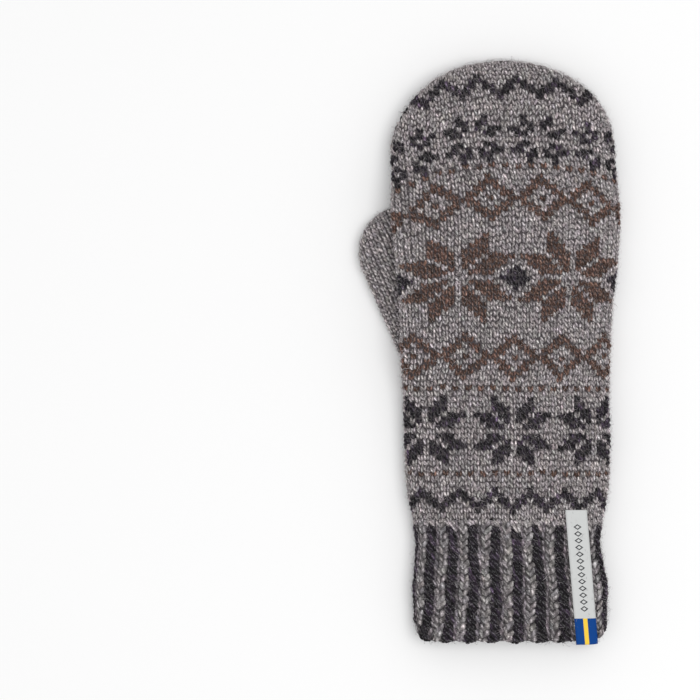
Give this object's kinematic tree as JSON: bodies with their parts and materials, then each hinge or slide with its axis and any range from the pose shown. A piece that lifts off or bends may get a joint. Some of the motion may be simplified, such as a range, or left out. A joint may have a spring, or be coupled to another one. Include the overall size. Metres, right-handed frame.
{
  "type": "knitted mitten",
  "caption": "Long knitted wool mitten lying palm down: a rounded stranded hand, a plain thumb under the palm, a ribbed cuff and a ribbon label folded round its hem.",
  "frame": {"origin": "middle of the underside of the whole mitten, as it lies palm down on a flat surface", "axes": "+Y towards the fingertips, +Z out of the back of the hand, +X to the side away from the thumb"},
  "size_m": [0.1196, 0.272, 0.0235],
  "materials": {
    "stranded_wool": "matt heathered grey wool knitting with charcoal and brown pattern stitches, slightly felted",
    "ribbed_wool": "matt corrugated ribbing in heathered grey and charcoal wool",
    "plain_wool": "matt heathered grey wool in a fine plain stitch",
    "satin_ribbon": "smooth woven satin ribbon, off-white with a striped blue and yellow end"
  },
  "bodies": {
    "root": {"hand": "stranded_wool", "cuff": "ribbed_wool", "thumb": "plain_wool", "label": "satin_ribbon"}
  },
  "joints": []
}
